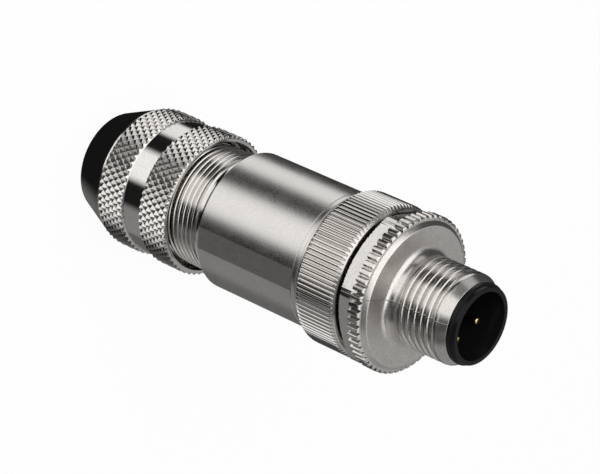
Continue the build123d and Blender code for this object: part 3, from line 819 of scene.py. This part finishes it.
class PLUG_OT_barrel(bpy.types.Operator):
    """Make the satin barrel with its rear thread and its front cavity"""
    bl_idname = "plug.barrel"
    bl_label = "Barrel"

    def execute(self, context):
        sizes = context.scene.plug_barrel
        thread = context.scene.plug_thread
        satin = finish("satin nickel")
        rear, front = ends("barrel")
        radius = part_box("barrel")[1].x
        shoulder = rear + sizes.shoulder
        thread_end = rear + sizes.thread_length
        run_out_end = thread_end + sizes.run_out
        root = sizes.thread_radius - thread.depth * thread.rear_pitch
        web_rear = rear + sizes.web_rear
        web_front = web_rear + sizes.web_length
        seat_rear = front - sizes.ring_seat_length
        inner_thread_end = seat_rear - sizes.inner_thread_gap
        inner_thread_start = inner_thread_end - sizes.inner_thread_length
        lip_rear = front - sizes.lip_length
        groove_middle = lip_rear - sizes.lip_groove_width / 2
        lip_radius = radius - sizes.lip_drop
        bands = [
            turned([
                (sizes.bore_radius + 2 * HAIR, rear + sizes.bore_chamfer - 2 * HAIR),
                (sizes.bore_radius + sizes.bore_chamfer, rear),
                (root - EDGE, rear, 0),
            ]),
            threaded("rear thread", sizes.thread_radius, (root, rear + 2 * HAIR),
                     (sizes.neck_radius, run_out_end), satin, thread.rear_pitch),
            turned([
                (sizes.neck_radius, run_out_end + EDGE),
                (sizes.neck_radius, thread_end + sizes.neck_length, sizes.neck_round),
                (sizes.neck_radius + sizes.neck_rise, shoulder, 2 * EDGE),
                (radius - sizes.edge_chamfer, shoulder),
                (radius, shoulder + sizes.edge_chamfer),
                (radius, lip_rear - sizes.lip_groove_width, 3 * HAIR),
                (radius - sizes.lip_groove_depth, groove_middle, 3 * HAIR),
                (radius, lip_rear, 3 * HAIR),
                (radius, front - sizes.lip_step - sizes.lip_drop),
                (lip_radius, front - sizes.lip_step),
                (lip_radius, front - 2 * EDGE),
                (lip_radius - 2 * EDGE, front),
                (sizes.cavity_radius + sizes.ring_seat_depth, front),
                (sizes.cavity_radius + sizes.ring_seat_depth, seat_rear),
                (sizes.cavity_radius, seat_rear - sizes.ring_seat_depth),
                (sizes.cavity_radius, inner_thread_end + 3 * HAIR),
            ]),
            flipped(threaded("cavity thread", sizes.cavity_radius,
                             (sizes.cavity_radius, inner_thread_start),
                             (sizes.cavity_radius, inner_thread_end), satin, thread.pitch)),
            turned([
                (sizes.cavity_radius, inner_thread_start - 3 * HAIR),
                (sizes.cavity_radius, web_front),
                (sizes.web_radius, web_front),
                (sizes.web_radius, web_rear),
                (sizes.bore_radius, web_rear),
                (sizes.bore_radius, rear + sizes.bore_chamfer + 2 * HAIR),
            ]),
        ]
        self.cut_flats(sizes, bands[2].mesh, groove_middle, radius)
        piece = sewn("barrel_shell", bands, satin,
                     crease=lambda place: self.on_flat_edge(sizes, place, radius))
        put(piece, "housing", "plated_brass", "barrel")
        return {"FINISHED"}

    def off_flat(self, sizes, place):
        """Return the turn between a place and the middle of the nearer flat."""
        return (atan2(place.y, place.x) - sizes.flat_angle + pi / 2) % pi - pi / 2

    def cut_flats(self, sizes, mesh, high, radius):
        """Flatten two opposite sides of the outside, up to a height."""
        distance = radius * cos(sizes.flat_half_width)
        for vertex in mesh.vertices:
            off = self.off_flat(sizes, vertex.co)
            flattened = distance / cos(off) / hypot(vertex.co.x, vertex.co.y)
            if vertex.co.z < high + WELD and abs(off) < sizes.flat_half_width and flattened < 1:
                vertex.co.x *= flattened
                vertex.co.y *= flattened

    def on_flat_edge(self, sizes, place, radius):
        """Tell whether a place lies on a long edge of a flat."""
        off = abs(self.off_flat(sizes, place)) - sizes.flat_half_width
        return abs(off) < SAME_TURN and hypot(place.x, place.y) > radius - HAIR


class PLUG_OT_front_body(bpy.types.Operator):
    """Make the front body: a ribbed grip ring on a threaded sleeve"""
    bl_idname = "plug.front_body"
    bl_label = "Front body"

    def execute(self, context):
        sizes = context.scene.plug_body
        nickel = finish("bright nickel")
        rear, front = ends("front_body")
        grip_rear = rear + sizes.grip_rear
        grip_front = grip_rear + sizes.grip_length
        thread_end = rear + sizes.thread_length
        thread = context.scene.plug_thread
        root = sizes.thread_radius - thread.depth * thread.pitch
        bevel_radius = sizes.thread_radius - sizes.thread_bevel
        web_rear = rear + sizes.web_rear
        rib_end = sizes.grip_radius - sizes.rib_depth - sizes.rib_end_drop
        bands = [
            turned([
                (sizes.sleeve_radius, rear + 2 * EDGE),
                (sizes.sleeve_radius + EDGE, rear),
                (root - EDGE, rear, 0),
            ]),
            threaded("front thread", sizes.thread_radius, (root, rear + 2 * HAIR),
                     (bevel_radius, thread_end), nickel, thread.pitch),
            turned([
                (bevel_radius - EDGE, thread_end),
                (sizes.groove_radius, thread_end),
                (sizes.groove_radius, grip_rear),
                (rib_end - EDGE, grip_rear, 0),
            ]),
            self.ribbed(sizes, rib_end, grip_rear, grip_front, nickel),
            turned([
                (rib_end - EDGE, grip_front),
                (sizes.hub_radius, grip_front),
                (sizes.hub_radius, front),
                (sizes.bore_radius, front),
                (sizes.bore_radius, web_rear),
                (sizes.sleeve_radius, web_rear),
                (sizes.sleeve_radius, rear + 4 * EDGE),
            ]),
        ]
        piece = sewn("front_body_grip", bands, nickel)
        put(piece, "core", "plated_brass", "front_body")
        return {"FINISHED"}

    def ribbed(self, sizes, end_radius, low, high, material):
        """Return the band of ribs, each with a flattened crest and bevelled ends."""
        across = np.abs(np.linspace(-1, 1, RIB_COLUMNS))
        valley = sizes.grip_radius - sizes.rib_depth
        full = valley + sizes.rib_depth * np.interp(across, *RIB_PROFILE)
        bevel = np.linspace(0, sizes.rib_end, RIB_END_ROWS)
        heights = np.concatenate([low + bevel, high - bevel[::-1]])
        slope = (sizes.grip_radius - end_radius) / sizes.rib_end
        limit = end_radius + np.minimum(heights - low, high - heights) * slope
        radii = np.minimum(full[None, :], limit[:, None])
        one = sector(radii, heights, tau / sizes.ribs)
        return repeated("ribs", one, sizes.ribs, material, (end_radius, low), (end_radius, high))


class PLUG_OT_coupling_ring(bpy.types.Operator):
    """Make the coupling ring: hexagon flange, row of teeth and mating thread"""
    bl_idname = "plug.coupling_ring"
    bl_label = "Coupling ring"

    def execute(self, context):
        sizes = context.scene.plug_ring
        casting = finish("cast nickel")
        rear, front = ends("coupling_ring")
        face = rear + sizes.flat_length + sizes.tooth_length + sizes.bevel
        thread_start = face + sizes.neck_length
        nose = front - sizes.nose_length
        land = nose - sizes.land_length
        seat_front = rear + sizes.hub_seat_depth
        land_radius = sizes.thread_radius - sizes.land_bevel
        flange = self.flange(sizes, rear, casting)
        fillet = [(sizes.neck_radius + sizes.neck_fillet * (1 - sin(turn)),
                   face + sizes.neck_fillet * (1 - cos(turn)), 0)
                  for turn in np.linspace(0, pi / 2, FILLET_ROWS)]
        # Height, drop from the crest radius and rounding of each point of the land's crown
        crown = [(land + 0.25 * mm, 0.03 * mm, 0.6 * mm), ((land + nose) / 2, 0, 1.2 * mm),
                 (nose - 0.1 * mm, 0.06 * mm, 0.5 * mm), (nose, sizes.land_drop, 0.3 * mm)]
        bands = [
            turned([
                (sizes.hub_seat_radius, rear + 2 * sizes.hub_seat_bevel),
                (sizes.hub_seat_radius + sizes.hub_seat_bevel, rear),
                (flange.start[0] - 2 * EDGE, rear, 0),
            ]),
            flange,
            turned([
                (flange.end[0] - 2 * EDGE, face),
                *fillet,
                (sizes.neck_radius, thread_start - EDGE),
            ]),
            threaded("mating thread", sizes.thread_radius, (sizes.neck_radius, thread_start),
                     (land_radius - 2 * HAIR, land), casting, context.scene.plug_thread.pitch),
            turned([
                (land_radius, land + 3 * HAIR),
                *[(sizes.thread_radius - drop, height, rounding) for height, drop, rounding in crown],
                (sizes.nose_radius, front, sizes.nose_round),
                (sizes.bore_radius, front),
                (sizes.bore_radius, seat_front),
                (sizes.hub_seat_radius, seat_front),
                (sizes.hub_seat_radius, rear + 2 * sizes.hub_seat_bevel + EDGE),
            ]),
        ]
        piece = sewn("coupling_ring_casting", bands, casting)
        put(piece, "coupling", "plated_casting", "coupling_ring")
        return {"FINISHED"}

    def flange(self, sizes, rear, material):
        """Return the band over the hexagon, the ledge, the teeth and the bevel."""
        pitch = tau / sizes.teeth
        half_side = pi / HEXAGON_SIDES
        half_pitch = sizes.flange_radius * pitch / 2
        corner = sizes.flange_radius * (half_side - acos(sizes.flat_distance / sizes.flange_radius))
        top, wall = sizes.tooth_top, sizes.tooth_root - sizes.tooth_top
        # Distances from a tooth's middle, each with its share of the tooth's height
        places = np.array([0.5 * top, top, *[top + part * wall for part, _ in TOOTH_WALL], corner,
                           half_pitch])
        rises = (1, 0.97, *[height for _, height in TOOTH_WALL], 0, 0)
        from_tooth = np.concatenate([-places[::-1], places[:-1]])
        per_side = sizes.teeth // HEXAGON_SIDES
        centres = np.arange(per_side)[:, None] * pitch
        turns = (centres + from_tooth / sizes.flange_radius).ravel()
        turns = np.append(turns, per_side * pitch - pitch / 2)
        from_tooth = np.append(np.tile(from_tooth, per_side), half_pitch)
        from_flat = turns % (2 * half_side) - half_side
        hexagon = np.minimum(sizes.flat_distance / np.cos(from_flat), sizes.flange_radius)
        rise = np.interp(np.abs(from_tooth), places, rises)
        tooth = sizes.root_radius + (sizes.flange_radius - sizes.root_radius) * rise
        heights, radii = zip(*self.flange_rows(sizes, rear, hexagon, tooth))
        radii = np.array(radii)
        side = round_mesh("flange side", radii, heights, sizes.corner_angle + turns)
        return repeated("flange", side, HEXAGON_SIDES, material, (radii[0, 0], rear),
                        (radii[-1, 0], heights[-1]))

    def flange_rows(self, sizes, rear, hexagon, tooth):
        """Return the height and the radii of each row of the flange, from rear to front."""
        edge = 8 * HAIR
        ledge = rear + sizes.flat_length
        teeth_front = ledge + sizes.tooth_length
        face = teeth_front + sizes.bevel
        bevel_radius = sizes.face_radius + sizes.bevel
        inner_edge = sizes.face_radius - 6 * EDGE
        same = np.ones_like(hexagon)
        rows = [(rear, same * (sizes.flat_distance - 5 * edge))]
        for rise in np.linspace(-edge, sizes.flange_radius - sizes.flat_distance, CORNER_ROWS):
            cone = sizes.flat_distance + rise
            rows.append((rear + (rise + edge) / sizes.corner_slope, np.minimum(hexagon, cone)))
        rows.append((ledge, hexagon))
        for run_out in np.linspace(0, sizes.flange_radius - sizes.root_radius, RUN_OUT_ROWS):
            rows.append((ledge + run_out, np.maximum(tooth, hexagon - run_out)))
        for swing in np.linspace(0, pi / 2, TOOTH_END_ROWS):
            drop = (sizes.flange_radius - bevel_radius) * (1 - cos(swing))
            level = teeth_front - sizes.tooth_round * (1 - sin(swing))
            rows.append((level, np.minimum(tooth, sizes.flange_radius - drop)))
        rows += [(teeth_front + edge / 4, same * (bevel_radius - edge / 4)),
                 (face - edge / 2, same * (sizes.face_radius + edge / 2)),
                 (face - edge / 8, same * sizes.face_radius),
                 (face, same * (sizes.face_radius - edge / 2)),
                 (face, same * inner_edge)]
        return rows


class PLUG_OT_contact_carrier(bpy.types.Operator):
    """Make the contact carrier with its shroud, and the key in its socket"""
    bl_idname = "plug.contact_carrier"
    bl_label = "Contact carrier"

    def execute(self, context):
        sizes = context.scene.plug_contacts
        plastic = finish("black plastic")
        rear, front = ends("contact_carrier")
        metal = front - sizes.shroud_length
        floor_height = front - sizes.socket_depth
        stem_front = rear + sizes.stem_length
        web = ends("front_body")[0] + context.scene.plug_body.web_rear
        body = turned([
            (0, rear), (sizes.stem_radius, rear),
            (sizes.stem_radius, web - sizes.clip_groove_length),
            (sizes.stem_radius - sizes.clip_groove, web - sizes.clip_groove_length),
            (sizes.stem_radius - sizes.clip_groove, web),
            (sizes.stem_radius, web),
            (sizes.stem_radius, stem_front), (sizes.carrier_radius, stem_front),
            (sizes.carrier_radius, metal), (sizes.lip_radius, metal),
            (sizes.lip_radius, metal + sizes.lip_length, sizes.edge_round),
            (sizes.shroud_radius, metal + sizes.lip_length),
            (sizes.shroud_radius, front, sizes.edge_round),
            (sizes.socket_radius, front, sizes.edge_round),
            (sizes.socket_radius, floor_height), (0, floor_height),
        ])
        bm = loaded(body.mesh)
        self.add_key(bm, sizes, floor_height, front - sizes.key_setback)
        piece = finished("contact_carrier_shroud", bm, plastic)
        put(piece, "core", "black_insulator", "contact_carrier")
        return {"FINISHED"}

    def add_key(self, bm, sizes, low, high):
        """Add the key, with rounded edges, rooted in the socket's wall and floor."""
        inner = sizes.socket_radius - sizes.key_height
        outer = sizes.socket_radius + sizes.key_root
        foot = low - sizes.key_root
        middle = Vector(((inner + outer) / 2, 0, (foot + high) / 2))
        extent = Vector((outer - inner, sizes.key_width, high - foot))
        place = (Matrix.Rotation(sizes.key_angle, 4, "Z") @ Matrix.Translation(middle)
                 @ Matrix.Diagonal((*extent, 1)))
        block = bmesh.ops.create_cube(bm, size=1, matrix=place)["verts"]
        edges = {edge for vertex in block for edge in vertex.link_edges}
        bmesh.ops.bevel(bm, geom=list(edges), offset=sizes.key_round, segments=3, profile=0.5,
                        affect="EDGES")


class PLUG_OT_contacts(bpy.types.Operator):
    """Make the gold-plated contact pins"""
    bl_idname = "plug.contacts"
    bl_label = "Contact pins"

    def execute(self, context):
        sizes = context.scene.plug_contacts
        gold = finish("gold plating")
        rear, front = ends("contact_pin_1")
        clamp_front = rear + sizes.clamp_length
        shank_front = ends("contact_carrier")[1] - sizes.socket_depth
        outline = [
            (0, rear + sizes.wire_depth), (sizes.wire_radius, rear + sizes.wire_depth),
            (sizes.wire_radius, rear), (sizes.clamp_radius, rear),
            (sizes.clamp_radius, clamp_front), (sizes.shank_radius, clamp_front),
            (sizes.shank_radius, shank_front), (sizes.pin_radius, shank_front),
            (sizes.pin_radius, front, sizes.pin_tip), (0, front),
        ]
        pin = turned(outline, segments=PIN_SEGMENTS).mesh
        pin.transform(Matrix.Translation((sizes.pin_circle, 0, 0)))
        pins = grown("pins", round_the_axis, {"Count": sizes.pins}, gold, pin)
        piece = finished("contact_pins", loaded(pins), gold)
        names = [f"contact_pin_{number + 1}" for number in range(sizes.pins)]
        put(piece, "core", "gold_contact", *names)
        return {"FINISHED"}


class PLUG_OT_seals(bpy.types.Operator):
    """Make the two sealing rings"""
    bl_idname = "plug.seals"
    bl_label = "Seals"

    def execute(self, context):
        rubber = finish("black rubber")
        turns = [tau * step / SEAL_STEPS for step in range(SEAL_STEPS)]
        for node, name in (("body_seal", "body_sealing_ring"), ("carrier_seal", "carrier_sealing_ring")):
            low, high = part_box(node)
            half = (high.z - low.z) / 2
            outline = [(high.x - half + half * cos(turn), low.z + half + half * sin(turn))
                       for turn in turns]
            ring = turned(outline + outline[:1], rounding=0)
            put(finished(name, loaded(ring.mesh), rubber), "core", "ring_rubber", node)
        return {"FINISHED"}


class PLUG_OT_inner_parts(bpy.types.Operator):
    """Give the inner parts their finishes"""
    bl_idname = "plug.inner_parts"
    bl_label = "Inner parts"

    def execute(self, context):
        finishes = {
            "clamping_cage": "dark grey plastic", "insulating_sleeve": "natural plastic",
            "cable_seal": "black rubber", "pressure_washer": "dark washer plastic",
            "shield_clamp": "spring metal", "carrier_clip": "spring metal",
            "terminal_block": "black plastic",
        }
        for node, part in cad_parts.items():
            if node.startswith("terminal_screw"):
                finishes[node] = "zinc plated steel"
            if node in finishes:
                for slot in part.material_slots:
                    slot.material = finish(finishes[node])
        return {"FINISHED"}


class PLUG_OT_stage(bpy.types.Operator):
    """Make the floor, the lamps, the world and the camera"""
    bl_idname = "plug.stage"
    bl_label = "Stage"

    def execute(self, context):
        settings = context.scene.plug_studio
        self.make_floor(settings)
        self.make_world(context.scene, settings)
        self.make_lamps(settings)
        self.make_camera(context.scene, settings)
        context.scene.view_settings.view_transform = "Standard"
        return {"FINISHED"}

    def make_floor(self, settings):
        """Make a pale floor that stays out of the metal's reflections."""
        bm = bmesh.new()
        bmesh.ops.create_circle(bm, cap_ends=True, segments=96, radius=settings.floor_radius)
        mesh = bpy.data.meshes.new("floor")
        bm.to_mesh(mesh)
        bm.free()
        material = bpy.data.materials.new("pale floor")
        material.use_nodes = True
        tree = Tree(material.node_tree)
        material.node_tree.nodes.clear()
        grey = (*[settings.floor_grey] * 3, 1)
        pale = tree.add("ShaderNodeBsdfDiffuse", inputs={"Color": grey})
        white = tree.add("ShaderNodeEmission", inputs={"Color": (1, 1, 1, 1), "Strength": 1.0})
        camera_ray = tree.add("ShaderNodeLightPath", output="Is Camera Ray")
        mixed = tree.add("ShaderNodeMixShader", inputs={
            0: camera_ray * settings.floor_white, 1: pale, 2: white})
        tree.add("ShaderNodeOutputMaterial", inputs={"Surface": mixed})
        mesh.materials.append(material)
        stage = bpy.data.objects.new("floor", mesh)
        stage.visible_glossy = False
        bpy.context.scene.collection.objects.link(stage)

    def make_world(self, scene, settings):
        """Make the world: white to the camera, even on plain surfaces, soft boxes in reflections."""
        world = bpy.data.worlds.new("studio")
        world.use_nodes = True
        scene.world = world
        tree = Tree(world.node_tree)
        world.node_tree.nodes.clear()
        direction = tree.add("ShaderNodeTexCoord", output="Generated")
        x, y, z = (tree.axis(direction, name) for name in "XYZ")
        light = self.soft_boxes(tree, x, y, z)
        path = {name: tree.add("ShaderNodeLightPath", output=name)
                for name in ("Is Camera Ray", "Is Diffuse Ray")}
        plain = light * (1 - path["Is Diffuse Ray"]) + settings.world_level * path["Is Diffuse Ray"]
        shown = plain * (1 - path["Is Camera Ray"]) + path["Is Camera Ray"]
        background = tree.add("ShaderNodeBackground", inputs={"Strength": shown})
        tree.add("ShaderNodeOutputWorld", inputs={"Surface": background})

    def soft_boxes(self, tree, x, y, z):
        """Return the brightness that reflections show in each direction."""
        nearly_upright = 0.001
        level = (x * x + y * y).math("SQRT").math("MAXIMUM", nearly_upright)
        elevation = z.math("ARCSINE")

        def toward_vector(turn):
            """Return how far the direction points along one azimuth."""
            return x * cos(turn) + y * sin(turn)

        def toward(azimuth, half_width, edge):
            """Return 1 within half_width degrees of an azimuth, falling to 0 over its edge."""
            along = toward_vector(radians(azimuth)) / level
            return tree.ramp(along, cos(radians(half_width + edge)), cos(radians(half_width - edge)))

        def between(low, high, edge):
            """Return 1 between two elevations in degrees, falling to 0 over the edge."""
            rise = tree.ramp(elevation, radians(low - edge), radians(low + edge))
            fall = tree.ramp(elevation, radians(high - edge), radians(high + edge), 1, 0)
            return rise * fall

        def around(azimuth, height, radius, edge):
            """Return 1 within radius degrees of one direction, falling to 0 over its edge."""
            turn, lift = radians(azimuth), radians(height)
            along = toward_vector(turn) * cos(lift) + z * sin(lift)
            return tree.ramp(along, cos(radians(radius + edge)), cos(radians(radius - edge)))

        glow = tree.ramp(elevation, radians(-45), 0, FLOOR_GLOW, HORIZON_GLOW)
        ceiling = between(35, 95, 10) * 0.25
        overhead = around(10, 78, 38, 9) * 1.9
        light = glow.math("MAXIMUM", ceiling).math("MAXIMUM", overhead)
        for box in SOFT_BOXES:
            across = toward(box.azimuth, box.half_width, box.side_edge)
            lit = across * between(box.low, box.high, box.edge) * box.brightness
            light = light.math("MAXIMUM", lit)
        return light

    def make_lamps(self, settings):
        """Make one large soft key lamp above."""
        lamp = bpy.data.lights.new("key", "AREA")
        lamp.shape = "DISK"
        lamp.size = settings.key_size
        lamp.energy = settings.key_power
        key = bpy.data.objects.new("key", lamp)
        key.location = settings.key_place
        back = Vector(settings.key_place) - Vector((0, 0, settings.key_aim))
        key.rotation_euler = back.to_track_quat("Z", "Y").to_euler()
        key.visible_glossy = False
        bpy.context.scene.collection.objects.link(key)

    def make_camera(self, scene, settings):
        """Make the camera at the photograph's viewpoint."""
        camera = bpy.data.cameras.new("camera")
        camera.lens = settings.lens
        camera.clip_start = settings.nearest
        viewer = bpy.data.objects.new("camera", camera)
        azimuth, elevation = settings.camera_azimuth, settings.camera_elevation
        back = Vector((cos(azimuth) * cos(elevation), sin(azimuth) * cos(elevation), sin(elevation)))
        look = back.to_track_quat("Z", "Y").to_matrix() @ Matrix.Rotation(settings.camera_roll, 3, "Z")
        place = Vector(settings.aim) + back * settings.camera_distance
        viewer.matrix_world = Matrix.Translation(place) @ look.to_4x4()
        scene.collection.objects.link(viewer)
        scene.camera = viewer


OPERATORS = (PLUG_OT_gland_nut, PLUG_OT_barrel, PLUG_OT_front_body, PLUG_OT_coupling_ring,
             PLUG_OT_contact_carrier, PLUG_OT_contacts, PLUG_OT_seals, PLUG_OT_inner_parts,
             PLUG_OT_stage)


class PLUG_PT_panel(bpy.types.Panel):
    """Buttons for the plug's pieces and stage"""
    bl_idname = "PLUG_PT_panel"
    bl_label = "Cable connector"
    bl_space_type = "VIEW_3D"
    bl_region_type = "UI"
    bl_category = "Connector"

    def draw(self, context):
        for operator in OPERATORS:
            self.layout.operator(operator.bl_idname)
        for name, group in SETTINGS.items():
            box = self.layout.box()
            box.label(text=group.__doc__)
            for prop in group.__annotations__:
                box.prop(getattr(context.scene, name), prop)


def register():
    """Register the settings, the operators and the panel."""
    for group in SETTINGS.values():
        bpy.utils.register_class(group)
    for name, group in SETTINGS.items():
        setattr(bpy.types.Scene, name, bpy.props.PointerProperty(type=group))
    for operator in OPERATORS:
        bpy.utils.register_class(operator)
    bpy.utils.register_class(PLUG_PT_panel)


def unregister():
    """Undo register, in the opposite order."""
    bpy.utils.unregister_class(PLUG_PT_panel)
    for operator in reversed(OPERATORS):
        bpy.utils.unregister_class(operator)
    for name, group in SETTINGS.items():
        delattr(bpy.types.Scene, name)
        bpy.utils.unregister_class(group)


def main():
    """Make every piece and the stage."""
    register()
    for operator in OPERATORS:
        group, name = operator.bl_idname.split(".")
        getattr(getattr(bpy.ops, group), name)()


if __name__ == "__main__":
    main()
